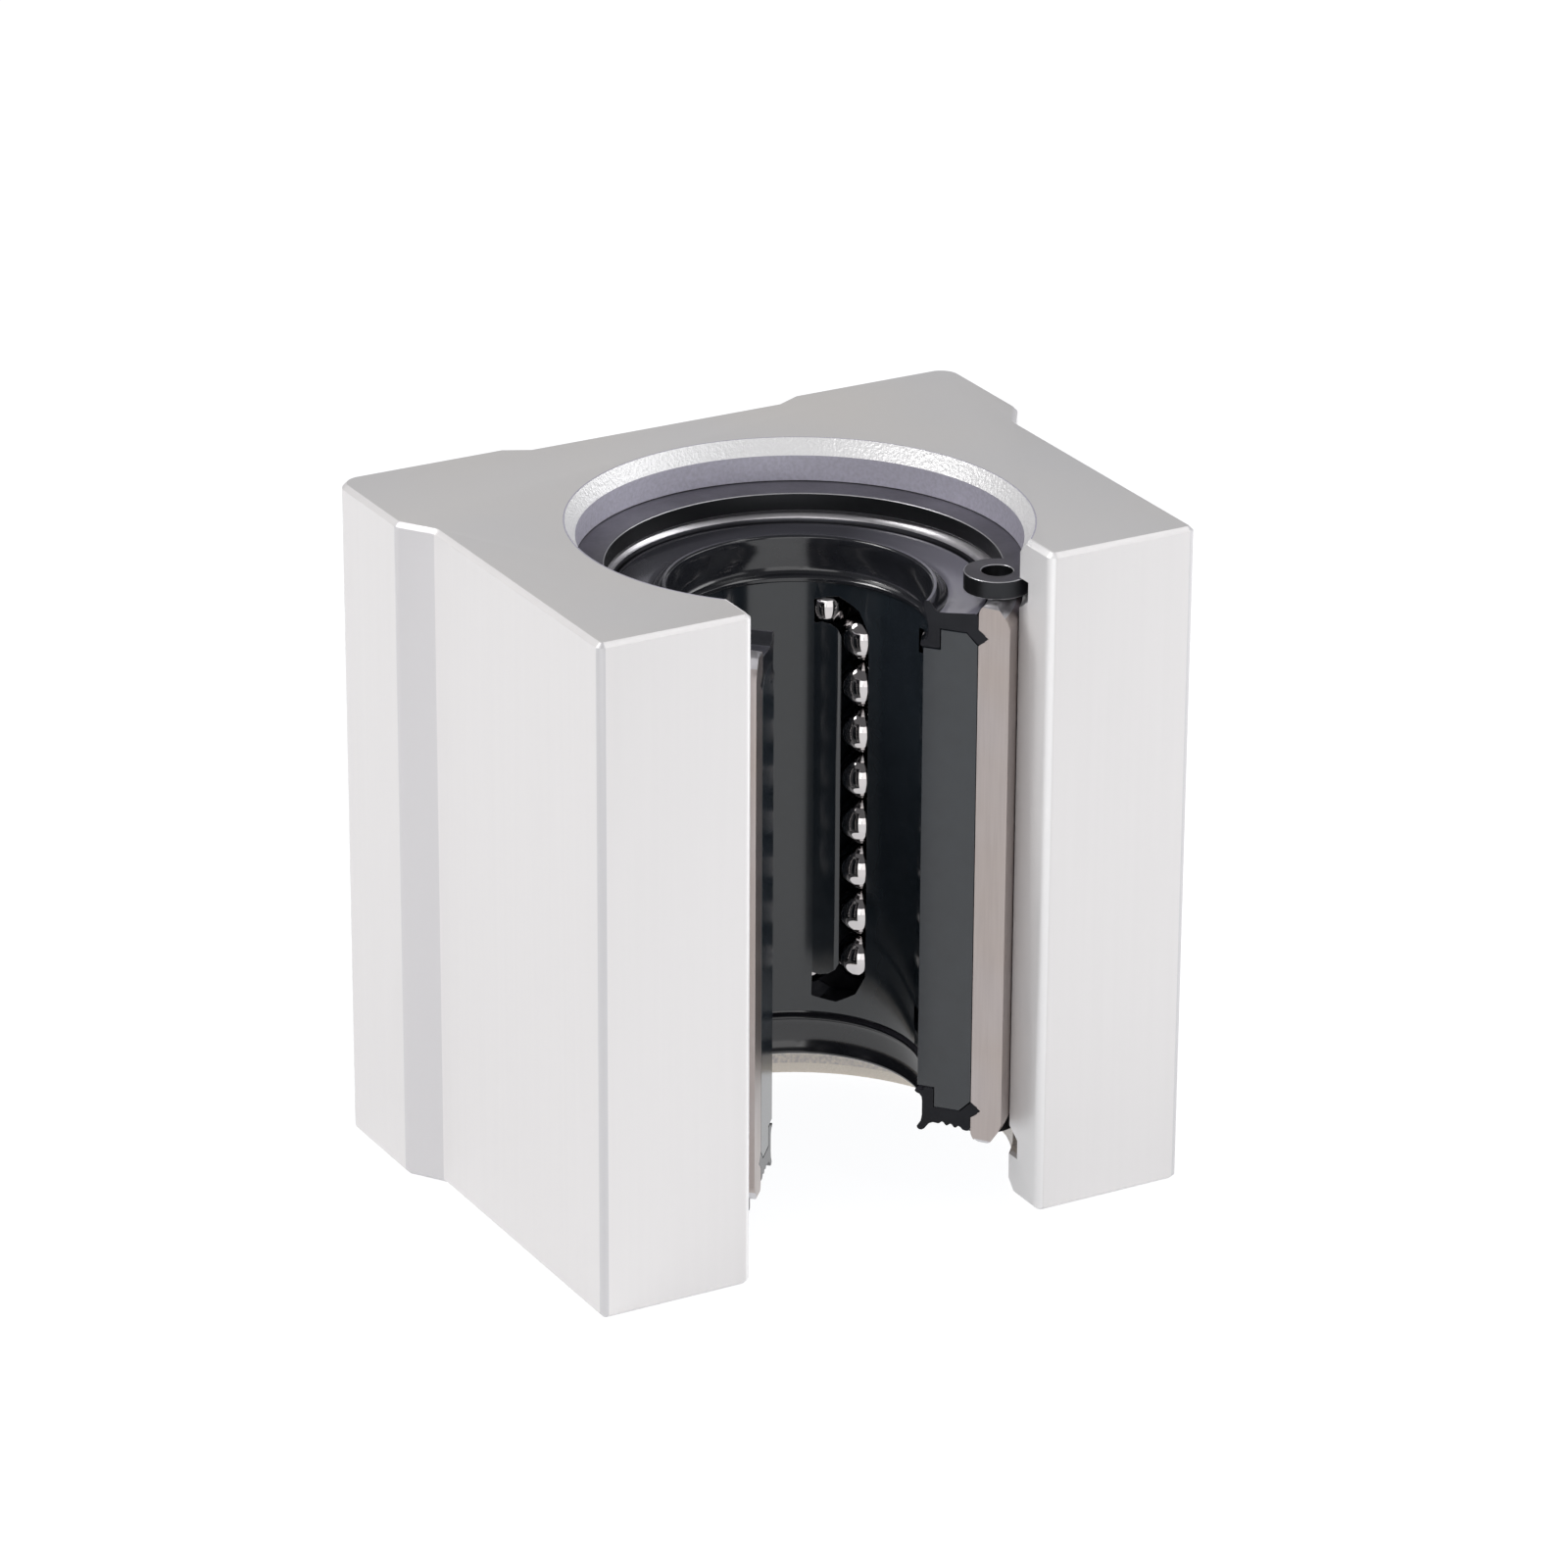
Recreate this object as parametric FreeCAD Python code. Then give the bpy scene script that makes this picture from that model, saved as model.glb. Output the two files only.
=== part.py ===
import FreeCAD, Part
import math
import os

# Open linear bearing block for a 16 mm shaft, millimetres.
# The origin is on the shaft axis, midway between the block's ends. The shaft
# axis is Z, the slot opens towards -Y and the mounting face looks towards +Y.

# Housing
block_length = 45.0
ledge_width = 45.0
body_width = 41.9
centre_height = 20.0
front_height = 13.0
ledge_thickness = 8.8
step_run = 2.3
mount_recess_width = 18.0
mount_recess_depth = 0.85
mount_recess_slant = 1.7
slot_width = 20.8
ledge_corner_radius = 1.5
step_radius = 0.8
front_corner_radius = 0.5
mouth_radius = 0.6
end_edge_break = 0.3
bore_end_chamfer_radial = 0.65
bore_end_chamfer_axial = 1.0

# Tapped mounting holes, M5
hole_spacing_x = 32.0
hole_spacing_z = 30.0
tapping_drill_radius = 2.1
tapped_hole_depth = 13.0

# Set screw, M4
set_screw_radius = 2.0
set_screw_length = 6.0
set_screw_socket_width = 2.0
set_screw_socket_depth = 2.2
set_screw_clearance = 0.05

# Bearing sleeve
bearing_end_recess = 4.0
sleeve_fit_clearance = 0.05
sleeve_wall = 2.05
sleeve_end_chamfer_radial = 0.85
sleeve_end_chamfer_axial = 1.3
sleeve_inner_chamfer = 0.45
bearing_slot_half_angle = 40.0
raceway_land_height = 0.705
raceway_land_width = 2.6
raceway_land_run_out = 0.7
raceway_clearance = 0.02

# Balls and their loops; angles are measured from +Y towards +X
shaft_radius = 8.0
ball_radius = 1.5875
return_row_clearance = 0.1125
ball_loop_end_gap = 0.32
ball_loop_angles = [(55.0, 32.0), (115.0, 92.0)]
ball_gap = 0.02
ball_steps_per_pitch = 200
ball_channel_clearance = 0.06
ball_channel_reach = 5.0
channel_turn_sides = 6

# Retainer
retainer_shaft_clearance = 0.25
retainer_fit_clearance = 0.05
retainer_end_chamfer = 0.75

# End seals
seal_depth_in_sleeve = 1.1
seal_flange_thickness = 0.95
seal_collar_shaft_clearance = 0.75
seal_collar_wall = 0.6
seal_collar_rise = 0.75
seal_collar_depth = 1.35
seal_lip_clearance = 0.05
seal_lip_land = 0.3
seal_lip_height = 0.8
seal_bead_depth = 0.6
seal_bead_shoulder = 0.25
seal_fit_clearance = 0.05

# Snap rings
ring_thickness = 1.2
ring_groove_depth = 0.7
ring_groove_width = 1.3
ring_groove_run_in = 0.7
ring_groove_clearance = 0.05
ring_back_width = 2.9
ring_end_width = 1.5
ring_lug_angle = 61.0
ring_turn = 8.0
ring_lug_radius = 2.1
ring_lug_inset = 2.25
ring_lug_hole_radius = 1.0

# Sizes that follow from those above, from the shaft outwards and from the block's ends inwards
load_row_radius = shaft_radius + ball_radius
raceway_radius = load_row_radius + ball_radius + raceway_clearance
sleeve_relief_radius = raceway_radius + raceway_land_height
sleeve_radius = sleeve_relief_radius + sleeve_wall
bore_radius = sleeve_radius + sleeve_fit_clearance
return_row_radius = sleeve_relief_radius - return_row_clearance - ball_radius
retainer_inner_radius = shaft_radius + retainer_shaft_clearance
retainer_outer_radius = sleeve_relief_radius - retainer_fit_clearance
seal_collar_inner_radius = shaft_radius + seal_collar_shaft_clearance
ring_outer_radius = bore_radius + ring_groove_depth - ring_groove_clearance
ring_lug_centre_radius = ring_outer_radius - ring_lug_inset
block_top = block_length / 2
sleeve_top = block_top - bearing_end_recess
seal_face_height = sleeve_top - seal_depth_in_sleeve
seal_flange_bottom = seal_face_height - seal_flange_thickness
retainer_top = seal_flange_bottom - seal_fit_clearance
seal_collar_radius = seal_collar_inner_radius + seal_collar_wall
seal_collar_bottom = seal_flange_bottom - seal_collar_depth
seal_bead_top = seal_flange_bottom + seal_bead_shoulder
seal_bead_bottom = seal_flange_bottom - retainer_end_chamfer
ball_loop_top = seal_collar_bottom - ball_loop_end_gap - ball_radius

# Reach of the cutting shapes past what they cut, and how near counts as the same place
far = 2 * block_length
overrun = 1.0
same_place = 1e-4

axis_x = FreeCAD.Vector(1, 0, 0)
axis_y = FreeCAD.Vector(0, 1, 0)
axis_z = FreeCAD.Vector(0, 0, 1)
origin = FreeCAD.Vector(0, 0, 0)


def vec(x, y, z):
    return FreeCAD.Vector(x, y, z)


def polar(radius, degrees):
    """A point at an angle measured from +Y towards +X."""
    angle = math.radians(degrees)
    return vec(radius * math.sin(angle), radius * math.cos(angle), 0)


def prism(points, z_low, z_high):
    wire = Part.makePolygon([vec(x, y, z_low) for x, y in points + points[:1]])
    return Part.Face(wire).extrude(vec(0, 0, z_high - z_low))


def turned(profile, degrees=360.0):
    """A solid turned about Z from a closed profile of (radius, height) points."""
    wire = Part.makePolygon([vec(r, 0, z) for r, z in profile + profile[:1]])
    return Part.Face(wire).revolve(origin, axis_z, degrees)


def both_ends(upper):
    """A closed profile from its upper half, mirrored about the middle of the block."""
    return upper + [(r, -z) for r, z in reversed(upper)]


def end_to_end(shape):
    """The same shape mirrored to the other end of the block."""
    return shape.mirror(origin, axis_z)


def side_to_side(shape):
    return shape.mirror(origin, axis_x)


def turned_over(shape):
    """The same shape turned over about Y, as one piece is fitted from the other end."""
    other = shape.copy()
    other.rotate(origin, axis_y, 180)
    return other


def upright_edges(solid, corners):
    """The edges along Z that stand on the given (x, y) corners and their mirror images."""
    found = []
    for edge in solid.Edges:
        start, end = edge.Vertexes[0].Point, edge.Vertexes[-1].Point
        upright = math.hypot(start.x - end.x, start.y - end.y) < same_place
        if upright and any(math.hypot(abs(start.x) - x, start.y - y) < same_place for x, y in corners):
            found.append(edge)
    return found


def slotted_band(profile):
    """A turned solid that stops at the two radial walls of the bearing's slot."""
    band = turned(profile, 360 - 2 * bearing_slot_half_angle)
    band.rotate(origin, axis_z, bearing_slot_half_angle - 90)
    return band


def housing_block():
    ledge_x = ledge_width / 2
    body_x = body_width / 2
    slot_x = slot_width / 2
    recess_x = mount_recess_width / 2
    step_high = centre_height - ledge_thickness
    step_low = step_high - step_run
    right_side = [
        (recess_x, centre_height - mount_recess_depth),
        (recess_x + mount_recess_slant, centre_height),
        (ledge_x, centre_height),
        (ledge_x, step_high),
        (body_x, step_low),
        (body_x, -front_height),
        (slot_x, -front_height),
        (slot_x, 0),
    ]
    left_side = [(-x, y) for x, y in reversed(right_side)]
    block = prism(right_side + left_side, -block_top, block_top)
    rounded = [
        (ledge_corner_radius, [(ledge_x, centre_height)]),
        (step_radius, [(ledge_x, step_high), (body_x, step_low)]),
        (front_corner_radius, [(body_x, -front_height)]),
        (mouth_radius, [(slot_x, -front_height)]),
    ]
    for radius, corners in rounded:
        block = block.makeFillet(radius, upright_edges(block, corners))
    for height in (-block_top, block_top):
        ends = [f for f in block.Faces if abs(f.CenterOfMass.z - height) < same_place]
        block = block.makeChamfer(end_edge_break, ends[0].OuterWire.Edges)
    return block


def bore_cutter():
    """The bored seat with its end chamfers and the two snap-ring grooves."""
    groove_radius = bore_radius + ring_groove_depth
    groove_low = sleeve_top
    groove_high = groove_low + ring_groove_width
    upper = [
        (bore_radius, groove_low - ring_groove_run_in),
        (groove_radius, groove_low),
        (groove_radius, groove_high),
        (bore_radius, groove_high),
        (bore_radius, block_top - bore_end_chamfer_axial),
        (bore_radius + 2 * bore_end_chamfer_radial, block_top + bore_end_chamfer_axial),
        (0, block_top + bore_end_chamfer_axial),
    ]
    cutter = turned(both_ends(upper))
    cutter.rotate(origin, axis_z, -90)
    return cutter


def mounting_hole(x, z):
    """One blind tapping hole, drilled from the mounting face towards -Y."""
    floor = vec(x, centre_height - tapped_hole_depth, z)
    return Part.makeCylinder(tapping_drill_radius, tapped_hole_depth + overrun, floor, axis_y)


def set_screw_hole():
    return Part.makeCylinder(set_screw_radius + set_screw_clearance, body_width / 2 + overrun, origin, axis_x)


def make_housing():
    housing = housing_block().cut(bore_cutter())
    for x in (-hole_spacing_x / 2, hole_spacing_x / 2):
        for z in (-hole_spacing_z / 2, hole_spacing_z / 2):
            housing = housing.cut(mounting_hole(x, z))
    return housing.cut(set_screw_hole())


def make_set_screw():
    """A socket set screw whose flat point rests on the sleeve."""
    screw = Part.makeCylinder(set_screw_radius, set_screw_length)
    corner_radius = set_screw_socket_width / math.sqrt(3)
    corners = [polar(corner_radius, angle) for angle in range(0, 360, 60)]
    hexagon = [(corner.x, corner.y) for corner in corners]
    socket_floor = set_screw_length - set_screw_socket_depth
    screw = screw.cut(prism(hexagon, socket_floor, set_screw_length + overrun))
    screw.rotate(origin, axis_y, 90)
    screw.translate(vec(sleeve_radius + set_screw_clearance, 0, 0))
    return screw


def raceway_land(loop):
    """The raised track inside the sleeve that one row of loaded balls rolls on."""
    half_length = loop.row_length / 2
    spread = math.degrees(raceway_land_width / sleeve_relief_radius)
    upper = [
        (raceway_radius, half_length),
        (sleeve_relief_radius, half_length + raceway_land_run_out),
        (sleeve_radius - sleeve_end_chamfer_radial, half_length + raceway_land_run_out),
    ]
    land = turned(both_ends(upper), spread)
    land.rotate(origin, axis_z, 90 - loop.load_angle - spread / 2)
    return land


def make_sleeve():
    groove_radius = sleeve_relief_radius + seal_bead_depth + seal_fit_clearance
    groove_top = seal_bead_top + seal_fit_clearance
    groove_bottom = seal_bead_bottom - seal_fit_clearance
    upper = [
        (sleeve_relief_radius, groove_bottom),
        (groove_radius, (groove_bottom + groove_top) / 2),
        (sleeve_relief_radius, groove_top),
        (sleeve_relief_radius, sleeve_top - sleeve_inner_chamfer),
        (sleeve_relief_radius + sleeve_inner_chamfer, sleeve_top),
        (sleeve_radius - sleeve_end_chamfer_radial, sleeve_top),
        (sleeve_radius, sleeve_top - sleeve_end_chamfer_axial),
    ]
    sleeve = slotted_band(both_ends(upper))
    for angles in ball_loop_angles:
        land = raceway_land(BallLoop(*angles))
        sleeve = sleeve.fuse([land, side_to_side(land)])
    return sleeve.removeSplitter()


class BallLoop:
    """One closed ball circuit: a loaded row, a return row and two half-round turns, all in one plane."""

    def __init__(self, load_angle, return_angle):
        self.load_angle = load_angle
        load_row = polar(load_row_radius, load_angle)
        return_row = polar(return_row_radius, return_angle)
        self.centre = (load_row + return_row) * 0.5
        self.turn_radius = (return_row - load_row).Length / 2
        self.across = (return_row - load_row).normalize()
        self.outward = self.across.cross(axis_z)
        self.row_length = 2 * (ball_loop_top - self.turn_radius)
        self.length = 2 * self.row_length + 2 * math.pi * self.turn_radius

    def point(self, distance):
        """Where a ball centre is after rolling a distance up from the foot of the loaded row."""
        row = self.row_length
        turn = math.pi * self.turn_radius
        distance = distance % self.length
        side = -1
        if distance >= row + turn:
            distance -= row + turn
            side = 1
        if distance < row:
            sideways, up = self.turn_radius, distance - row / 2
        else:
            angle = (distance - row) / self.turn_radius
            sideways = self.turn_radius * math.cos(angle)
            up = row / 2 + self.turn_radius * math.sin(angle)
        return self.centre + self.across * (side * sideways) - axis_z * (side * up)

    def ball_centres(self):
        """Balls one pitch apart, as many as the loop holds, with the loaded row centred."""
        pitch = 2 * ball_radius + ball_gap
        loaded = math.floor(self.row_length / pitch)
        first = (self.row_length - loaded * pitch) / 2
        centres = [self.point(first)]
        step = pitch / ball_steps_per_pitch
        for n in range(math.floor(self.length / step)):
            place = self.point(first + n * step)
            if min(place.distanceToPoint(centre) for centre in centres) >= pitch:
                centres.append(place)
        return centres

    def placed(self, shape):
        """Move a shape drawn with X across the loop, Y along the shaft and Z outwards."""
        frame = FreeCAD.Matrix()
        for column, direction in enumerate((self.across, axis_z, self.outward)):
            frame.setCol(column, direction)
        frame.setCol(3, self.centre)
        return shape.transformed(frame)

    def channel(self):
        """The space the balls run in: open outwards to the sleeve, its turns made of short straights."""
        half = ball_radius + ball_channel_clearance
        flat = half * math.tan(math.radians(45 / 2))
        inner_wall = [(-half, ball_channel_reach), (-half, -flat), (-flat, -half)]
        section = inner_wall + [(-across, out) for across, out in reversed(inner_wall)]
        step = math.pi / channel_turn_sides
        outlines = []
        for side in (-1, 1):
            for n in range(channel_turn_sides):
                angle = (n + 0.5) * step
                outline = []
                for across, out in section:
                    reach = side * (self.turn_radius + across) / math.cos(step / 2)
                    along = side * self.row_length / 2 + reach * math.sin(angle)
                    outline.append(vec(reach * math.cos(angle), along, out))
                outlines.append(outline)
        faces = []
        for start, end in zip(outlines, outlines[1:] + outlines[:1]):
            for n in range(len(section)):
                corners = [start[n - 1], start[n], end[n], end[n - 1]]
                faces.append(Part.Face(Part.makePolygon(corners + corners[:1])))
        return self.placed(Part.makeSolid(Part.makeShell(faces)))


def faceted_ball(centre):
    """A 26-sided ball: a cube with its edges cut back until its corners lie on the true sphere."""
    half_face = ball_radius / math.sqrt(5 + 2 * math.sqrt(2))
    edge_cut = half_face * math.sqrt(2)
    side = 2 * (half_face + edge_cut)
    cube = Part.makeBox(side, side, side, centre - vec(side / 2, side / 2, side / 2))
    return cube.makeChamfer(edge_cut, cube.Edges)


def make_ball_circuits():
    """The circuits on both sides of the slot, each a group of separate balls."""
    circuits = []
    for angles in ball_loop_angles:
        balls = Part.makeCompound([faceted_ball(centre) for centre in BallLoop(*angles).ball_centres()])
        circuits.append(balls)
        circuits.append(side_to_side(balls))
    return circuits


def make_retainer():
    counterbore = seal_collar_radius + seal_fit_clearance
    upper = [
        (retainer_inner_radius, seal_collar_bottom - seal_fit_clearance),
        (counterbore, seal_collar_bottom - seal_fit_clearance),
        (counterbore, retainer_top),
        (retainer_outer_radius - retainer_end_chamfer, retainer_top),
        (retainer_outer_radius, retainer_top - retainer_end_chamfer),
    ]
    retainer = slotted_band(both_ends(upper))
    for angles in ball_loop_angles:
        channel = BallLoop(*angles).channel()
        retainer = retainer.cut([channel, side_to_side(channel)])
    return retainer


def make_upper_seal():
    """An end seal: a flange with a collar, a bead that snaps into the sleeve and a wiping lip."""
    rim_radius = sleeve_relief_radius - seal_fit_clearance
    bead_radius = sleeve_relief_radius + seal_bead_depth
    lip_radius = shaft_radius + seal_lip_clearance
    collar_top = seal_face_height + seal_collar_rise
    profile = [
        (seal_collar_inner_radius, collar_top),
        (seal_collar_radius, collar_top),
        (seal_collar_radius, seal_face_height),
        (rim_radius, seal_face_height),
        (rim_radius, seal_bead_top),
        (bead_radius, (seal_bead_top + seal_bead_bottom) / 2),
        (rim_radius, seal_bead_bottom),
        (rim_radius - retainer_end_chamfer, seal_flange_bottom),
        (seal_collar_radius, seal_flange_bottom),
        (seal_collar_radius, seal_collar_bottom),
        (lip_radius, seal_collar_bottom),
        (lip_radius, seal_collar_bottom + seal_lip_land),
        (seal_collar_inner_radius, seal_collar_bottom + seal_lip_height),
    ]
    return slotted_band(profile)


def make_upper_snap_ring():
    """A retaining ring, widest at the back, with plier holes in its lugs, turned a little in its groove."""
    shift = (ring_back_width - ring_end_width) / 2
    inner_radius = ring_outer_radius - ring_back_width + shift
    body = Part.makeCylinder(ring_outer_radius, ring_thickness)
    body = body.cut(Part.makeCylinder(inner_radius, ring_thickness, vec(0, -shift, 0)))
    left = polar(far, 180 + ring_lug_angle)
    right = polar(far, 180 - ring_lug_angle)
    body = body.cut(prism([(0, 0), (left.x, left.y), (right.x, right.y)], 0, ring_thickness))
    for side in (-1, 1):
        eye = polar(ring_lug_centre_radius, 180 + side * ring_lug_angle)
        body = body.fuse(Part.makeCylinder(ring_lug_radius, ring_thickness, eye))
        body = body.cut(Part.makeCylinder(ring_lug_hole_radius, ring_thickness, eye))
    body = body.removeSplitter()
    body.rotate(origin, axis_z, -ring_turn)
    body.translate(vec(0, 0, sleeve_top + (ring_groove_width - ring_thickness) / 2))
    return body


upper_seal = make_upper_seal()
upper_snap_ring = make_upper_snap_ring()
parts = {
    "housing": make_housing(),
    "outer_sleeve": make_sleeve(),
    "retainer": make_retainer(),
    "upper_end_seal": upper_seal,
    "lower_end_seal": end_to_end(upper_seal),
    "upper_snap_ring": upper_snap_ring,
    "lower_snap_ring": turned_over(upper_snap_ring),
    "set_screw": make_set_screw(),
}
for number, circuit in enumerate(make_ball_circuits(), 1):
    parts[f"ball_circuit_{number}"] = circuit

os.makedirs("parts", exist_ok=True)
for name, shape in parts.items():
    shape.exportStep(f"parts/{name}.step")
    state = "valid" if shape.isValid() else "NOT VALID"
    print(name, state, len(shape.Solids), "solids", round(shape.Volume, 1))
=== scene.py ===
import math

import bmesh
import bpy
from mathutils import Matrix, Quaternion, Vector


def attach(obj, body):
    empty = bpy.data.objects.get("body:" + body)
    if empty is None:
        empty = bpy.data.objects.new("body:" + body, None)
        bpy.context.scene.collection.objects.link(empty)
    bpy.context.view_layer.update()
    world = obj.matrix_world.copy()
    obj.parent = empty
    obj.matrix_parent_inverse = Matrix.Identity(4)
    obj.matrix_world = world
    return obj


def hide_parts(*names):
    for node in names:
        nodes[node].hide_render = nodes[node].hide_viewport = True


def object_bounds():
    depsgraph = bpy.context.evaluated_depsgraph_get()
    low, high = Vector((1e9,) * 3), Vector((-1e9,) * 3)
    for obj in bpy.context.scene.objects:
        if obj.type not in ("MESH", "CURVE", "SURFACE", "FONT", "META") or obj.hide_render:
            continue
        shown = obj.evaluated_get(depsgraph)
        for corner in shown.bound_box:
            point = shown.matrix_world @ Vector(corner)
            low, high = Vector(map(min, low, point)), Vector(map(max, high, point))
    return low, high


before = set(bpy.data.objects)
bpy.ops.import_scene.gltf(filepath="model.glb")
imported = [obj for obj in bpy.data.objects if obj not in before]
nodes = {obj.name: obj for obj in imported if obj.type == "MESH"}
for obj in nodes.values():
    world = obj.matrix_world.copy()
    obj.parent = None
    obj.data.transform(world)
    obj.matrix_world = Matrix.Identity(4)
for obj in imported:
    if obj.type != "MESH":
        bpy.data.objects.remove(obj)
cadBox = [list(corner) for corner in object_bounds()]
mm = 0.001
print("frame loaded:", len(nodes), "nodes")


def addNode(tree, kind, values=None, **settings):
    made = tree.nodes.new(kind)
    for name, value in settings.items():
        setattr(made, name, value)
    for name, value in (values or {}).items():
        if isinstance(value, bpy.types.NodeSocket):
            tree.links.new(value, made.inputs[name])
        else:
            made.inputs[name].default_value = value
    return made


def calc(tree, operation, first, second=0.0):
    return addNode(tree, "ShaderNodeMath", {0: first, 1: second}, operation=operation).outputs[0]


# masks: 1 where the surface qualifies, otherwise 0
def above(tree, value, limit):
    return calc(tree, "GREATER_THAN", value, limit)


def below(tree, value, limit):
    return calc(tree, "LESS_THAN", value, limit)


def both(tree, first, second):
    return calc(tree, "MULTIPLY", first, second)


def between(tree, value, limits):
    return both(tree, above(tree, value, limits[0]), below(tree, value, limits[1]))


def blendColour(tree, factor, first, second):
    mix = addNode(tree, "ShaderNodeMix", data_type="RGBA")
    for index, value in ((0, factor), (6, first), (7, second)):
        if isinstance(value, bpy.types.NodeSocket):
            tree.links.new(value, mix.inputs[index])
        else:
            mix.inputs[index].default_value = value if index == 0 else (*value, 1)
    return mix.outputs[2]


def grain(tree, place, size, along=1, detail=3):  # noise of about size; along under 1 draws it out along Z
    mapped = addNode(tree, "ShaderNodeMapping", {"Vector": place, "Scale": (1, 1, along)})
    values = {"Vector": mapped.outputs[0], "Scale": 1 / size, "Detail": detail}
    return addNode(tree, "ShaderNodeTexNoise", values).outputs["Fac"]


noiseRange = (0.3, 0.7)  # nearly all of a noise lies between these


def span(tree, noise, low, high):  # stretches a noise to run from low to high
    lowest, highest = noiseRange
    values = {"Value": noise, "From Min": lowest, "From Max": highest, "To Min": low, "To Max": high}
    return addNode(tree, "ShaderNodeMapRange", values).outputs[0]


def fleck(tree, noise, amount, colour, spots):
    return blendColour(tree, span(tree, noise, 0, amount), colour, spots)


def splitVector(tree, vector):
    return addNode(tree, "ShaderNodeSeparateXYZ", {0: vector}).outputs


def fromAxis(tree, parts):  # the offset from the shaft axis
    return addNode(tree, "ShaderNodeCombineXYZ", {0: parts[0], 1: parts[1]}).outputs[0]


def faceNormal(tree):
    return addNode(tree, "ShaderNodeNewGeometry").outputs["Normal"]


squareFace = 0.97  # faces with more than this of their normal along the shaft axis lie square to it


def axialShare(tree, normal):  # how much of the normal lies along the shaft axis
    return calc(tree, "ABSOLUTE", splitVector(tree, normal)[2])


def startMaterial(name, settings):
    material = bpy.data.materials.new(name)
    material.use_nodes = True
    tree = material.node_tree
    shader = tree.nodes["Principled BSDF"]
    shader.inputs["Metallic"].default_value = settings["metallic"]
    if "specular" in settings:
        shader.inputs["Specular IOR Level"].default_value = settings["specular"]
    place = addNode(tree, "ShaderNodeTexCoord").outputs["Object"]
    return material, tree, shader, place


def feed(tree, shader, settings, colour, gloss, height):
    depth, strength = settings["bump"]
    bump = addNode(tree, "ShaderNodeBump", {"Height": height, "Distance": depth, "Strength": strength})
    tree.links.new(colour, shader.inputs["Base Color"])
    tree.links.new(span(tree, gloss, *settings["roughness"]), shader.inputs["Roughness"])
    tree.links.new(bump.outputs[0], shader.inputs["Normal"])


anodisedSettings = {
    "metallic": 0.28,
    "skin": (0.87, 0.855, 0.855),  # drawn faces
    "shoulderShade": (0.73, 0.72, 0.735),  # the slope under each ledge, painted shade where the body shades it
    "shoulderOutside": 20.8 * mm,
    "shoulderHeights": (8.9 * mm, 11.4 * mm),
    "corner": (0.71, 0.705, 0.72),  # the front corners, darker
    "cornerOutside": 20.5 * mm,
    "cornerFrontOf": -12.6 * mm,
    "slotPaintedLight": (1.0, 0.995, 1.0),  # the slot's walls, painted light, brighter than the drawn faces
    "slotLipInside": 10.8 * mm,
    "slotLipFrontOf": -9.2 * mm,
    "milledCool": (0.755, 0.75, 0.757),  # sawn and milled ends
    "milledWarm": (0.785, 0.765, 0.745),
    "milledFleck": (0.8, 0.8, 0.8),
    "milledFleckAmount": 0.10,
    "bored": (0.61, 0.595, 0.70),
    "boredFleck": (0.42, 0.41, 0.47),
    "boredFleckAmount": 0.55,
    "footReflection": (0.95, 0.88, 0.78),  # the seat's lower end, a painted warm reflection
    "footHeight": -18 * mm,
    "boreRadius": 14.75 * mm,
    "bevel": (0.94, 0.94, 0.945),
    "bevelRadius": 14.9 * mm,
    "bevelTilt": (0.2, squareFace),
    "grainSize": 0.22 * mm,
    "cloudSize": 14 * mm,
    "dieLineSize": 0.5 * mm,  # faint lines that the die left along the extrusion
    "dieLineAlong": 0.02,
    "dieLineShade": 0.987,
    "roughness": (0.40, 0.48),
    "bump": (0.012 * mm, 0.6),
    "grainHeight": 0.5,
    "bevelHeight": 11.0,  # added where the bevel's cutter chattered
    "dieLineHeight": 0.25,
}


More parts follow.
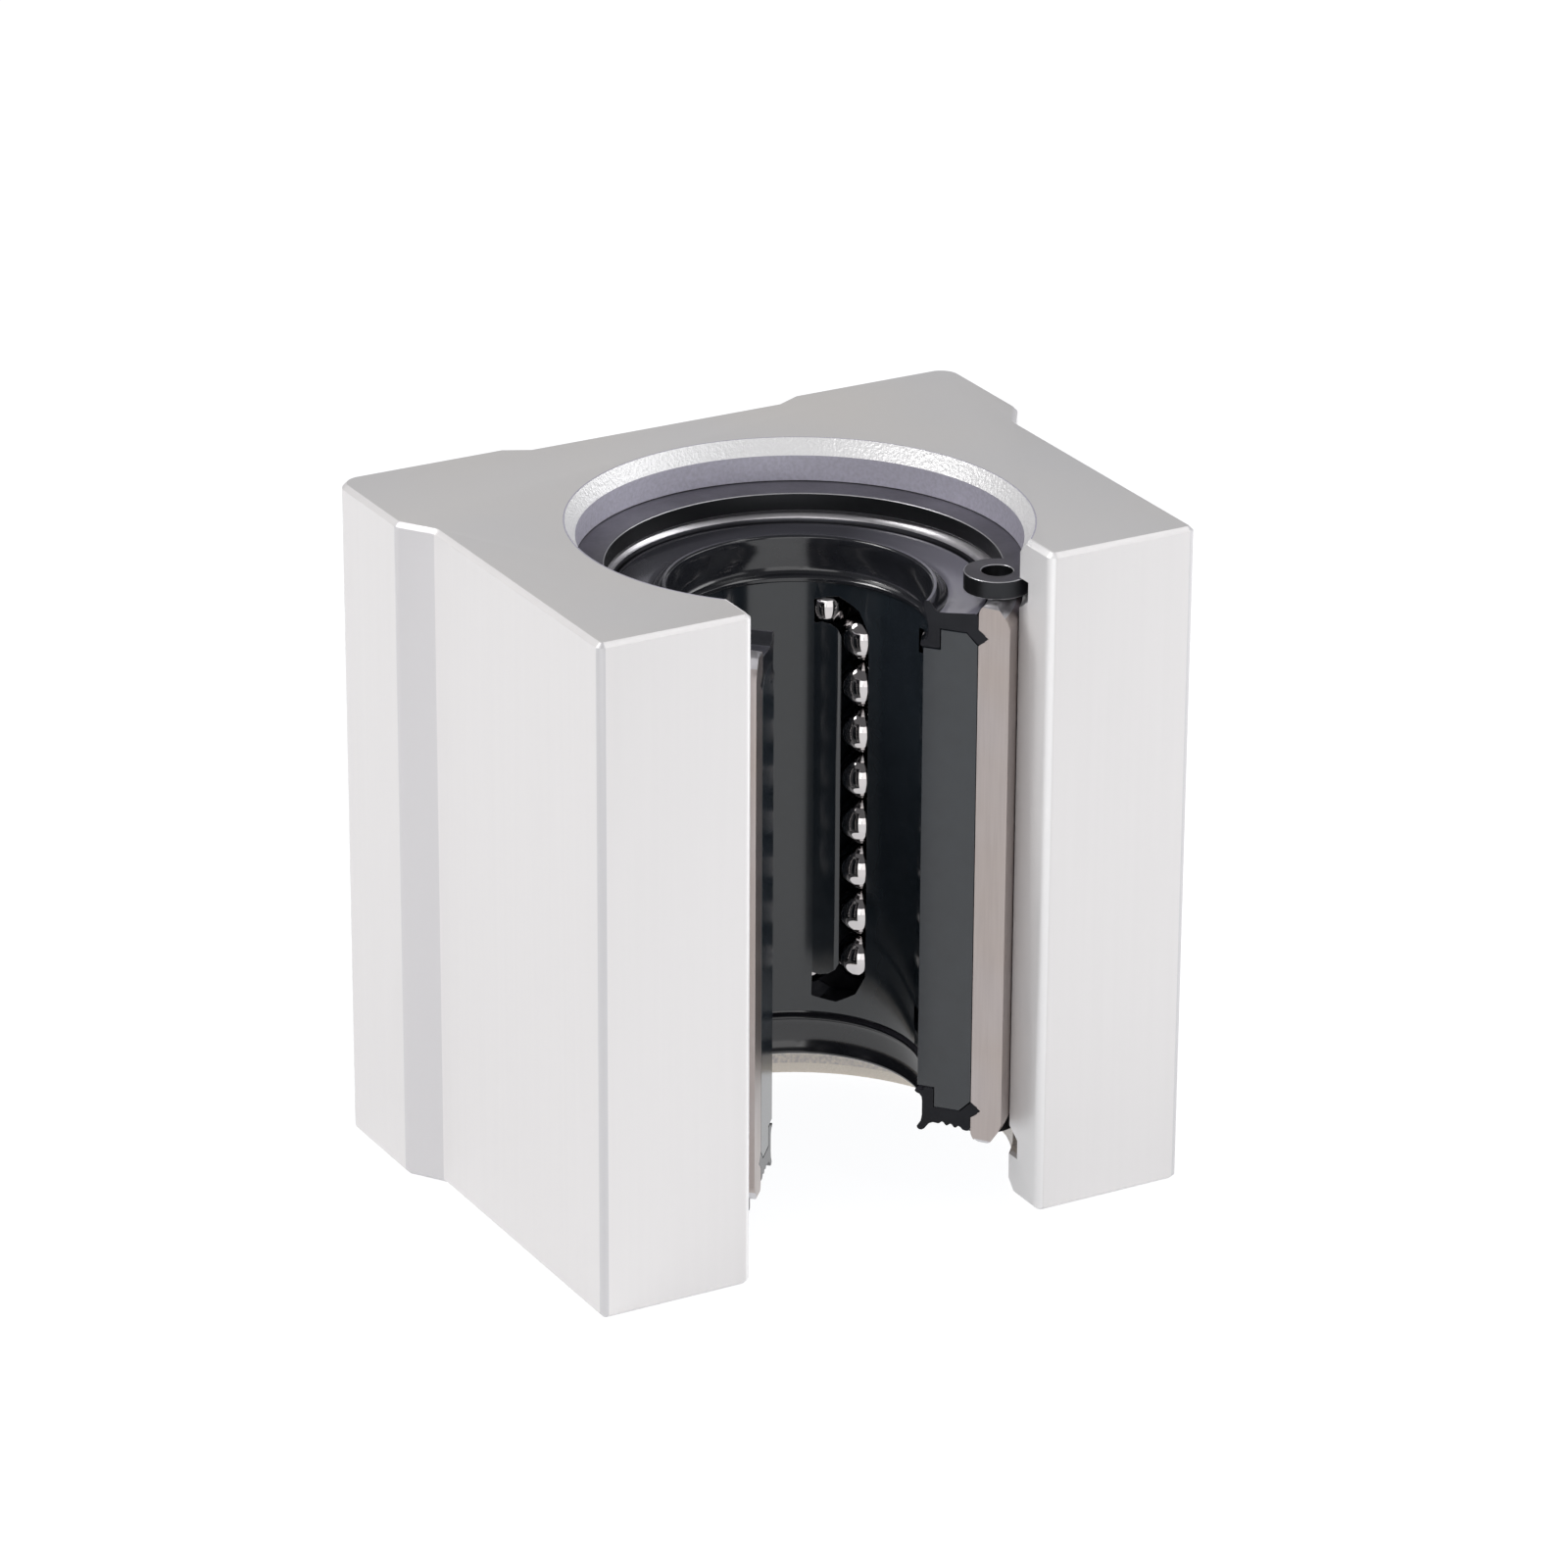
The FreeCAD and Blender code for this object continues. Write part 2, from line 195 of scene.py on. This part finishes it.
def makeAnodised():
    s = anodisedSettings
    material, tree, shader, place = startMaterial("clearAnodised", s)
    parts = splitVector(tree, place)
    across = calc(tree, "ABSOLUTE", parts[0])
    offset = fromAxis(tree, parts)
    radius = addNode(tree, "ShaderNodeVectorMath", {0: offset}, operation="LENGTH").outputs["Value"]
    axial = axialShare(tree, faceNormal(tree))

    outOnShoulder = above(tree, across, s["shoulderOutside"])
    inShoulderShade = both(tree, outOnShoulder, between(tree, parts[1], s["shoulderHeights"]))
    outAtCorner = above(tree, across, s["cornerOutside"])
    onCorner = both(tree, outAtCorner, below(tree, parts[1], s["cornerFrontOf"]))
    inSlot = below(tree, across, s["slotLipInside"])
    onSlotPaintedLight = both(tree, inSlot, below(tree, parts[1], s["slotLipFrontOf"]))
    onEnd = above(tree, axial, squareFace)
    inBore = below(tree, radius, s["boreRadius"])
    atFoot = below(tree, parts[2], s["footHeight"])
    onBevel = both(tree, between(tree, axial, s["bevelTilt"]), below(tree, radius, s["bevelRadius"]))

    speck = grain(tree, place, s["grainSize"])
    cloud = grain(tree, place, s["cloudSize"], detail=1)
    dieLines = grain(tree, place, s["dieLineSize"], along=s["dieLineAlong"])
    shaded = tuple(v * s["dieLineShade"] for v in s["skin"])
    skin = blendColour(tree, span(tree, dieLines, 0, 1), shaded, s["skin"])
    # painted shade on the slope under each ledge
    skin = blendColour(tree, inShoulderShade, skin, s["shoulderShade"])
    skin = blendColour(tree, onCorner, skin, s["corner"])
    milled = blendColour(tree, span(tree, cloud, 0, 1), s["milledCool"], s["milledWarm"])
    milled = fleck(tree, speck, s["milledFleckAmount"], milled, s["milledFleck"])
    # painted reflection at the seat's lower end, on the bore and its bevel
    bored = blendColour(tree, atFoot, s["bored"], s["footReflection"])
    bored = fleck(tree, speck, s["boredFleckAmount"], bored, s["boredFleck"])
    bevel = blendColour(tree, atFoot, s["bevel"], s["footReflection"])
    colour = blendColour(tree, onEnd, skin, milled)
    colour = blendColour(tree, inBore, colour, bored)
    # painted light on the slot's walls
    colour = blendColour(tree, onSlotPaintedLight, colour, s["slotPaintedLight"])
    colour = blendColour(tree, onBevel, colour, bevel)

    chatter = calc(tree, "ADD", calc(tree, "MULTIPLY", onBevel, s["bevelHeight"]), s["grainHeight"])
    height = calc(tree, "MULTIPLY", speck, chatter)
    height = calc(tree, "ADD", height, calc(tree, "MULTIPLY", dieLines, s["dieLineHeight"]))
    feed(tree, shader, s, colour, speck, height)
    return material


steelSettings = {
    "metallic": 0.9,
    "ground": (0.43, 0.375, 0.350),
    "tint": (0.445, 0.40, 0.39),
    "groundFleck": (0.25, 0.22, 0.21),
    "groundFleckAmount": 0.12,
    "turned": (0.58, 0.57, 0.59),  # the rounded ends, lighter
    "turnedBeyond": 17.7 * mm,
    "turnedTilt": 0.15,
    "insideShade": (0.07, 0.07, 0.08),  # unground inside, painted shade where the end recesses lie in shadow
    "insideShadeFrom": -11.2 * mm,  # what faces the shaft axis from beyond this
    "tintSize": 5 * mm,
    "lineSize": 0.12 * mm,
    "lineAlong": 0.03,
    "roughness": (0.28, 0.38),
    "bump": (0.004 * mm, 0.5),
}


def makeGroundSteel():
    s = steelSettings
    material, tree, shader, place = startMaterial("groundBearingSteel", s)
    parts = splitVector(tree, place)
    normal = faceNormal(tree)
    atEnd = above(tree, calc(tree, "ABSOLUTE", parts[2]), s["turnedBeyond"])
    onLighterEnd = both(tree, atEnd, above(tree, axialShare(tree, normal), s["turnedTilt"]))
    facing = {0: fromAxis(tree, parts), 1: normal}
    facing = addNode(tree, "ShaderNodeVectorMath", facing, operation="DOT_PRODUCT").outputs["Value"]
    onInsideShade = below(tree, facing, s["insideShadeFrom"])

    lines = grain(tree, place, s["lineSize"], along=s["lineAlong"])
    cloud = grain(tree, place, s["tintSize"], detail=1)
    colour = blendColour(tree, span(tree, cloud, 0, 1), s["ground"], s["tint"])
    colour = fleck(tree, lines, s["groundFleckAmount"], colour, s["groundFleck"])
    colour = blendColour(tree, onLighterEnd, colour, s["turned"])
    # painted shade on the inside wall
    colour = blendColour(tree, onInsideShade, colour, s["insideShade"])
    feed(tree, shader, s, colour, lines, lines)
    return material


ringSettings = {
    "metallic": 0.8,
    "steel": (0.20, 0.195, 0.22),  # flat faces
    "dull": (0.155, 0.15, 0.17),
    "edge": (0.52, 0.52, 0.54),  # the rounded edges, painted highlight
    "wall": (0.030, 0.031, 0.034),  # the blanked walls, painted shade
    "wallTilt": 0.25,
    "dullSize": 2.5 * mm,
    "grainSize": 0.30 * mm,
    "roughness": (0.34, 0.40),
    "bump": (0.001 * mm, 0.1),
}


def makeSpringSteel():
    s = ringSettings
    material, tree, shader, place = startMaterial("blankedSpringSteel", s)
    speck = grain(tree, place, s["grainSize"])
    cloud = grain(tree, place, s["dullSize"], detail=2)
    axial = axialShare(tree, faceNormal(tree))
    colour = blendColour(tree, span(tree, cloud, 0, 1), s["steel"], s["dull"])
    # painted highlight on the rounded edges
    colour = blendColour(tree, below(tree, axial, squareFace), colour, s["edge"])
    # painted shade on the upright walls
    colour = blendColour(tree, below(tree, axial, s["wallTilt"]), colour, s["wall"])
    feed(tree, shader, s, colour, speck, speck)
    return material


ballSettings = {
    "metallic": 1.0,
    "chrome": (0.60, 0.57, 0.565),
    "shade": (0.54, 0.525, 0.53),
    "shadeSize": 1.2 * mm,
    "grainSize": 0.08 * mm,
    "roughness": (0.04, 0.09),
    "bump": (0.002 * mm, 0.2),
}


def makeBallSteel():
    s = ballSettings
    material, tree, shader, place = startMaterial("polishedBallSteel", s)
    cloud = grain(tree, place, s["shadeSize"], detail=2)
    speck = grain(tree, place, s["grainSize"])
    colour = blendColour(tree, span(tree, cloud, 0, 1), s["chrome"], s["shade"])
    feed(tree, shader, s, colour, speck, cloud)
    return material


cageSettings = {
    "metallic": 0.0,
    "specular": 0.7,
    "resin": (0.016, 0.021, 0.027),
    "scuff": (0.019, 0.025, 0.032),
    "scuffSize": 1.6 * mm,
    "grainSize": 0.10 * mm,
    "grainHeight": 0.02,
    "roughness": (0.11, 0.14),
    "bump": (0.003 * mm, 0.15),
}


def makeCageResin():
    s = cageSettings
    material, tree, shader, place = startMaterial("mouldedCageResin", s)
    cloud = grain(tree, place, s["scuffSize"], detail=1)
    speck = grain(tree, place, s["grainSize"])
    colour = blendColour(tree, span(tree, cloud, 0, 1), s["resin"], s["scuff"])
    height = calc(tree, "ADD", cloud, calc(tree, "MULTIPLY", speck, s["grainHeight"]))
    feed(tree, shader, s, colour, speck, height)
    return material


rubberSettings = {
    "metallic": 0.0,
    "specular": 0.7,
    "rubber": (0.016, 0.017, 0.021),
    "bloom": (0.022, 0.023, 0.028),
    "flangeDull": (0.055, 0.055, 0.066),  # the flat outer face, painted sheen, greyer towards one side
    "flangeSheen": (0.22, 0.215, 0.26),
    "sheenOver": 14 * mm,
    "bloomSize": 2 * mm,
    "grainSize": 0.12 * mm,
    "roughness": (0.12, 0.16),
    "bump": (0.001 * mm, 0.2),
}
rubberCutSettings = dict(rubberSettings, specular=0.12)  # the ends beside the slot


def makeSealRubber(name, s):
    material, tree, shader, place = startMaterial(name, s)
    parts = splitVector(tree, place)
    toOneSide = calc(tree, "SUBTRACT", parts[0], parts[1])
    sheenShare = {"Value": toOneSide, "From Min": 0, "From Max": s["sheenOver"]}
    sheenShare = addNode(tree, "ShaderNodeMapRange", sheenShare).outputs[0]
    onFlange = above(tree, axialShare(tree, faceNormal(tree)), squareFace)
    cloud = grain(tree, place, s["bloomSize"], detail=2)
    speck = grain(tree, place, s["grainSize"])
    colour = blendColour(tree, span(tree, cloud, 0, 1), s["rubber"], s["bloom"])
    # painted sheen on the flange, greyer towards one side
    flange = blendColour(tree, sheenShare, s["flangeDull"], s["flangeSheen"])
    colour = blendColour(tree, onFlange, colour, flange)
    feed(tree, shader, s, colour, speck, speck)
    return material


screwSettings = {
    "metallic": 0.6,
    "oxide": (0.035, 0.035, 0.04),
    "worn": (0.09, 0.085, 0.085),
    "wornSize": 0.8 * mm,
    "grainSize": 0.10 * mm,
    "roughness": (0.34, 0.50),
    "bump": (0.005 * mm, 0.5),
}


def makeScrewOxide():
    s = screwSettings
    material, tree, shader, place = startMaterial("blackOxide", s)
    cloud = grain(tree, place, s["wornSize"])
    speck = grain(tree, place, s["grainSize"])
    colour = blendColour(tree, span(tree, cloud, 0, 1), s["oxide"], s["worn"])
    feed(tree, shader, s, colour, speck, speck)
    return material


anodised = makeAnodised()
groundSteel = makeGroundSteel()
springSteel = makeSpringSteel()
ballSteel = makeBallSteel()
cageResin = makeCageResin()
sealRubber = makeSealRubber("sealRubber", rubberSettings)
sealCut = makeSealRubber("sealCut", rubberCutSettings)
screwOxide = makeScrewOxide()
print("finishes made")

meshSettings = {
    "mergeWithin": 0.0005 * mm,
    "flatWithin": 0.4,  # degrees between triangles of one face
    "sharpFrom": 32,  # degrees
    "roundFrom": 28,
    "roundSegments": 2,
}


def finishPiece(bm, name, material, standsFor=()):
    mesh = bpy.data.meshes.new(name)
    bm.to_mesh(mesh)
    bm.free()
    piece = bpy.data.objects.new(name, mesh)
    bpy.context.collection.objects.link(piece)
    mesh.materials.append(material)
    for face in mesh.polygons:
        face.use_smooth = True
    mesh.set_sharp_from_angle(angle=math.radians(meshSettings["sharpFrom"]))
    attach(piece, "root")
    if standsFor:
        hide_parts(*standsFor)
    return piece


def roundEdges(piece, width, angle=meshSettings["roundFrom"]):
    soft = piece.modifiers.new("softEdges", "BEVEL")
    soft.width = width
    soft.segments = meshSettings["roundSegments"]
    soft.limit_method = "ANGLE"
    soft.angle_limit = math.radians(angle)
    soft.use_clamp_overlap = True
    soft.harden_normals = True


def chamferEdges(bm, edges, width, segments=1):
    bmesh.ops.bevel(
        bm, geom=edges, offset=width, segments=segments,
        affect="EDGES", profile=0.5, material=-1, clamp_overlap=True,
    )


def copyOfNode(name):  # the node's surface, with its triangles merged into whole faces
    bm = bmesh.new()
    bm.from_mesh(nodes[name].data)
    bmesh.ops.remove_doubles(bm, verts=bm.verts, dist=meshSettings["mergeWithin"])
    flat = math.radians(meshSettings["flatWithin"])
    bmesh.ops.dissolve_limit(bm, angle_limit=flat, verts=bm.verts, edges=bm.edges)
    return bm


housingDetail = {
    "edge": 0.10 * mm,
    "mouthChamfer": 0.45 * mm,
    "holeRadius": 2.1 * mm,
    "holeSpacingX": 32 * mm,
    "holeSpacingZ": 30 * mm,
    "screwHoleRadius": 2.05 * mm,
    "screwSideFrom": 18 * mm,
    "onFace": 0.01 * mm,
    "onCircle": 0.05 * mm,
}
holeCentres = [
    (sideX * housingDetail["holeSpacingX"] / 2, sideZ * housingDetail["holeSpacingZ"] / 2)
    for sideX in (-1, 1)
    for sideZ in (-1, 1)
]


def makeHousing():
    s = housingDetail
    bm = copyOfNode("housing")
    mountingFace = cadBox[1][1]

    def onMountingMouth(p, x, z):
        fromCircle = abs(math.hypot(p.x - x, p.z - z) - s["holeRadius"])
        return abs(p.y - mountingFace) < s["onFace"] and fromCircle < s["onCircle"]

    def onScrewMouth(p):
        fromCircle = abs(math.hypot(p.y, p.z) - s["screwHoleRadius"])
        return p.x > s["screwSideFrom"] and fromCircle < s["onCircle"]

    mouths = []
    for edge in bm.edges:
        ends = [vert.co for vert in edge.verts]
        for x, z in holeCentres:
            if all(onMountingMouth(p, x, z) for p in ends):
                mouths.append(edge)
        if all(onScrewMouth(p) for p in ends):
            mouths.append(edge)
    chamferEdges(bm, mouths, s["mouthChamfer"])
    piece = finishPiece(bm, "anodised_housing", anodised, ["housing"])
    roundEdges(piece, s["edge"])


makeHousing()
print("housing done")

sleeveDetail = {
    "edge": 0.10 * mm,
    "endRound": 0.40 * mm,  # of the raised tracks, at both ends
    "endSegments": 4,
    "endBeyond": 16.9 * mm,
    "endLevel": 0.01 * mm,
    "rimSharper": 20,  # degrees
    "rimShorter": 2 * mm,
}


def makeSleeve():
    s = sleeveDetail
    bm = copyOfNode("outer_sleeve")
    rims = []
    for edge in bm.edges:
        first, last = (vert.co.z for vert in edge.verts)
        atEnd = min(abs(first), abs(last)) > s["endBeyond"] and abs(first - last) < s["endLevel"]
        sharp = atEnd and edge.calc_face_angle(0) > math.radians(s["rimSharper"])
        if sharp and edge.calc_length() < s["rimShorter"]:
            rims.append(edge)
    chamferEdges(bm, rims, s["endRound"], s["endSegments"])
    piece = finishPiece(bm, "bearing_sleeve", groundSteel, ["outer_sleeve"])
    roundEdges(piece, s["edge"])


makeSleeve()

cageDetail = {"edge": 0.04 * mm}
ringDetail = {"edge": 0.16 * mm}
screwDetail = {"edge": 0.12 * mm}
for nodeName, pieceName, material, recordSlot, detail in (
    ("retainer", "ball_cage", cageResin, "black_resin", cageDetail),
    ("upper_snap_ring", "upper_ring", springSteel, "spring_steel", ringDetail),
    ("lower_snap_ring", "lower_ring", springSteel, "spring_steel", ringDetail),
    ("set_screw", "grub_screw", screwOxide, "black_steel", screwDetail),
):
    piece = finishPiece(copyOfNode(nodeName), pieceName, material, [nodeName])
    roundEdges(piece, detail["edge"])
print("sleeve, cage, rings and screw done")

ballDetail = {"radius": 1.5875 * mm, "subdivisions": 3}
circuits = range(1, 5)


def ballCentres(name):  # the middle of each separate ball in a circuit
    bm = bmesh.new()
    bm.from_mesh(nodes[name].data)
    bmesh.ops.remove_doubles(bm, verts=bm.verts, dist=meshSettings["mergeWithin"])
    waiting = set(bm.verts)
    centres = []
    while waiting:
        ball, reached = set(), [waiting.pop()]
        while reached:
            vert = reached.pop()
            ball.add(vert)
            for link in vert.link_edges:
                other = link.other_vert(vert)
                if other in waiting:
                    waiting.remove(other)
                    reached.append(other)
        centres.append(sum((vert.co for vert in ball), Vector()) / len(ball))
    bm.free()
    return centres


def makeBalls(number):
    s = ballDetail
    nodeName = f"ball_circuit_{number}"
    bm = bmesh.new()
    centres = ballCentres(nodeName)
    for centre in centres:
        move = Matrix.Translation(centre)
        bmesh.ops.create_icosphere(bm, subdivisions=s["subdivisions"], radius=s["radius"], matrix=move)
    finishPiece(bm, f"balls_{number}", ballSteel, [nodeName])
    return len(centres)


print("balls:", sum(makeBalls(number) for number in circuits))

sealDetail = {
    "halfSlot": 40,  # degrees of slot either side of -Y
    "steps": 120,
    "edge": 0.05 * mm,
    "roundFrom": 35,  # degrees
    "cutAcross": 0.7,  # less than this of the normal along the radius, and
    "cutUpright": 0.5,  # less than this along the shaft axis, is an end beside the slot
    # the section in millimetres, radius and height: round the leaning collar, over the flange
    # and down the bead, and back up the lip
    "collar": [
        (8.24, 17.98), (8.28, 18.11), (8.40, 18.20), (8.58, 18.20),
        (8.76, 18.08), (8.92, 17.86), (9.08, 17.66), (9.34, 17.54),
    ],
    "ridgesFrom": 9.7,
    "ridgesTo": 11.4,
    "ridges": 3,
    "ridgeSteps": 8,
    "upperRidge": 0.0,
    "lowerRidge": 0.20,
    "flangeHeight": 17.56,
    "flangeDish": 0.10,
    "rim": [
        (11.60, 17.76), (11.76, 17.72), (11.85, 17.60), (11.85, 16.76), (12.08, 16.68), (12.34, 16.48),
        (12.47, 16.20), (12.34, 15.92), (12.08, 15.76), (11.84, 15.73), (11.12, 16.43), (9.35, 16.45),
    ],
    "upperLip": [
        (9.35, 15.16), (9.28, 15.11), (8.12, 15.11), (8.06, 15.17), (8.06, 15.36), (8.20, 15.50),
        (8.38, 15.56), (8.52, 15.74), (8.58, 16.05), (8.56, 16.50), (8.44, 17.10), (8.30, 17.60),
    ],
    "lowerLip": [
        (9.35, 15.16), (9.28, 15.11), (8.72, 15.11), (8.62, 15.36), (8.14, 15.38), (8.08, 15.44),
        (8.08, 15.52), (8.20, 15.62), (8.40, 15.68), (8.54, 15.86), (8.58, 16.15), (8.58, 16.60),
        (8.58, 17.15), (8.50, 17.58),
    ],
}


def flangeFace(ridgeHeight):  # the flange's outer face, dished, with its moulded ridges
    s = sealDetail
    steps = s["ridgeSteps"] * s["ridges"]
    face = []
    for n in range(steps + 1):
        radius = s["ridgesFrom"] + (s["ridgesTo"] - s["ridgesFrom"]) * n / steps
        wave = 0.5 - 0.5 * math.cos(math.tau * n / s["ridgeSteps"])
        dished = s["flangeHeight"] + s["flangeDish"] * (radius - s["ridgesFrom"])
        face.append((radius, dished - ridgeHeight * wave))
    return face


def makeSeal(name, nodeName, side, ridgeHeight, lip):
    s = sealDetail
    bm = bmesh.new()
    section = s["collar"] + flangeFace(ridgeHeight) + s["rim"] + lip
    face = bm.faces.new([bm.verts.new((radius * mm, 0, side * z * mm)) for radius, z in section])
    toSlot = Matrix.Rotation(math.radians(s["halfSlot"] - 90), 3, "Z")
    bmesh.ops.rotate(bm, verts=bm.verts, cent=(0, 0, 0), matrix=toSlot)
    bmesh.ops.spin(
        bm, geom=[face, *face.edges, *face.verts], cent=(0, 0, 0), axis=(0, 0, 1),
        angle=math.radians(360 - 2 * s["halfSlot"]), steps=s["steps"], use_merge=False, use_duplicate=False,
    )
    bmesh.ops.remove_doubles(bm, verts=bm.verts, dist=meshSettings["mergeWithin"])
    bmesh.ops.recalc_face_normals(bm, faces=bm.faces)
    print(name, "open edges:", sum(edge.is_boundary for edge in bm.edges))
    piece = finishPiece(bm, name, sealRubber, [nodeName])
    piece.data.materials.append(sealCut)
    for polygon in piece.data.polygons:
        out = Vector((polygon.center.x, polygon.center.y, 0)).normalized()
        upright = abs(polygon.normal.z) < s["cutUpright"]
        if upright and abs(polygon.normal.dot(out)) < s["cutAcross"]:
            polygon.material_index = 1
    roundEdges(piece, s["edge"], s["roundFrom"])


makeSeal("upper_seal", "upper_end_seal", 1, sealDetail["upperRidge"], sealDetail["upperLip"])
makeSeal("lower_seal", "lower_end_seal", -1, sealDetail["lowerRidge"], sealDetail["lowerLip"])
print("end seals done")

threadDetail = {
    "pitch": 0.8 * mm,
    "depth": 0.13 * mm,
    "root": 0.02 * mm,  # sunk into the hole's wall
    "rootShare": 0.42,  # of the pitch, either side of the ridge's middle
    "crestShare": 0.08,
    "foot": 11.6 * mm,  # below the mounting face
    "turns": 13,
    "stepsPerTurn": 28,
}


def makeThread(name, foot, radius):  # a helical ridge standing on a hole's wall
    s = threadDetail
    axis, out = Vector((0, 1, 0)), Vector((0, 0, 1))
    wall, crest = radius + s["root"], radius - s["depth"]
    section = [
        (wall, -s["rootShare"]), (crest, -s["crestShare"]), (crest, s["crestShare"]), (wall, s["rootShare"]),
    ]
    bm = bmesh.new()
    face = bm.faces.new([bm.verts.new(foot + out * r + axis * (share * s["pitch"])) for r, share in section])
    bmesh.ops.spin(
        bm, geom=[face, *face.edges, *face.verts], cent=foot, axis=axis,
        dvec=axis * (s["pitch"] / s["stepsPerTurn"]), angle=math.tau * s["turns"],
        steps=s["stepsPerTurn"] * s["turns"], use_merge=False, use_duplicate=False,
    )
    bmesh.ops.recalc_face_normals(bm, faces=bm.faces)
    finishPiece(bm, name, anodised)


for number, (x, z) in enumerate(holeCentres, 1):
    foot = Vector((x, cadBox[1][1] - threadDetail["foot"], z))
    makeThread(f"mounting_thread_{number}", foot, housingDetail["holeRadius"])
print("threads done")

floorSettings = {
    "reach": 3.0,
    "albedo": 0.80,
    "shadowShare": 0.16,
    "glow": 0.965,
    "tone": (0.985, 0.99, 1.0),
}


def makeFloor():
    s = floorSettings
    bm = bmesh.new()
    drop = Matrix.Translation((0, 0, cadBox[0][2]))
    bmesh.ops.create_grid(bm, x_segments=1, y_segments=1, size=s["reach"], matrix=drop)
    mesh = bpy.data.meshes.new("paleFloor")
    bm.to_mesh(mesh)
    bm.free()
    floor = bpy.data.objects.new("pale_floor", mesh)
    bpy.context.collection.objects.link(floor)
    material = bpy.data.materials.new("paleFloor")
    material.use_nodes = True
    tree = material.node_tree
    tree.nodes.remove(tree.nodes["Principled BSDF"])
    ray = addNode(tree, "ShaderNodeLightPath").outputs
    mirrored = calc(tree, "MAXIMUM", ray["Is Glossy Ray"], ray["Is Transmission Ray"])
    seen = calc(tree, "MAXIMUM", ray["Is Camera Ray"], mirrored)
    plain = addNode(tree, "ShaderNodeBsdfDiffuse", {"Color": (s["albedo"], s["albedo"], s["albedo"], 1)})
    shade = (s["shadowShare"], s["shadowShare"], s["shadowShare"], 1)
    faint = addNode(tree, "ShaderNodeBsdfDiffuse", {"Color": shade})
    glow = addNode(tree, "ShaderNodeEmission", {"Color": (*s["tone"], 1), "Strength": s["glow"]})
    white = addNode(tree, "ShaderNodeAddShader", {0: faint.outputs[0], 1: glow.outputs[0]})
    surface = addNode(tree, "ShaderNodeMixShader", {0: seen, 1: plain.outputs[0], 2: white.outputs[0]})
    tree.links.new(surface.outputs[0], tree.nodes["Material Output"].inputs["Surface"])
    mesh.materials.append(material)


makeFloor()

worldSettings = {"tone": (0.93, 0.92, 0.95), "strength": 0.165}


def makeWorld():
    s = worldSettings
    world = bpy.data.worlds.new("studioRoom")
    bpy.context.scene.world = world
    world.use_nodes = True
    background = world.node_tree.nodes["Background"]
    background.inputs["Color"].default_value = (*s["tone"], 1)
    background.inputs["Strength"].default_value = s["strength"]


makeWorld()

# every lamp faces the middle of the shaft axis
lampSettings = {
    "leftSoftbox": {"place": (-0.95, -0.90, 0.30), "size": 0.70, "power": 3.2, "tone": (1.0, 0.995, 0.99)},
    "frontSoftbox": {"place": (-0.35, -1.25, 0.30), "size": 0.70, "power": 2.2, "tone": (1.0, 0.995, 0.995)},
    "frontRightSoftbox": {"place": (0.85, -1.20, 0.26), "size": 0.90, "power": 2.4, "tone": (0.99, 0.99, 1.0)},
    "rightSoftbox": {"place": (1.25, -0.45, 0.30), "size": 0.90, "power": 8.9, "tone": (0.995, 0.995, 1.0)},
    "topRightSoftbox": {"place": (0.30, -0.26, 0.62), "size": 0.30, "power": 0.78, "tone": (1.0, 1.0, 1.0)},
    "topLeftSoftbox": {"place": (-0.45, 0.25, 0.60), "size": 0.30, "power": 3.3, "tone": (1.0, 0.99, 0.985)},
}


def makeLamp(name, s):
    lamp = bpy.data.lights.new(name, "AREA")
    lamp.shape = "SQUARE"
    lamp.size = s["size"]
    lamp.energy = s["power"]
    lamp.color = s["tone"]
    holder = bpy.data.objects.new(name, lamp)
    bpy.context.collection.objects.link(holder)
    holder.location = s["place"]
    holder.rotation_mode = "QUATERNION"
    holder.rotation_quaternion = (-Vector(s["place"])).to_track_quat("-Z", "Y")


for lampName, lampValues in lampSettings.items():
    makeLamp(lampName, lampValues)
print("floor and light done")

cameraSettings = {
    "place": (-0.1996, -0.3553, 0.1765),
    "yaw": 29.20,  # degrees
    "pitch": 22.88,
    "roll": 0.30,
    "lens": 160.6,
    "sensor": 36,
    "clip": (0.01, 20),
}


def makeCamera():
    s = cameraSettings
    camera = bpy.data.cameras.new("productCamera")
    camera.lens = s["lens"]
    camera.sensor_width = s["sensor"]
    camera.clip_start, camera.clip_end = s["clip"]
    holder = bpy.data.objects.new("productCamera", camera)
    bpy.context.collection.objects.link(holder)
    yaw, pitch = math.radians(s["yaw"]), math.radians(s["pitch"])
    ahead = Vector((math.sin(yaw) * math.cos(pitch), math.cos(yaw) * math.cos(pitch), -math.sin(pitch)))
    roll = Quaternion((0, 0, 1), math.radians(s["roll"]))
    holder.location = s["place"]
    holder.rotation_mode = "QUATERNION"
    holder.rotation_quaternion = ahead.to_track_quat("-Z", "Y") @ roll
    bpy.context.scene.camera = holder


makeCamera()
bpy.context.scene.view_settings.view_transform = "Standard"
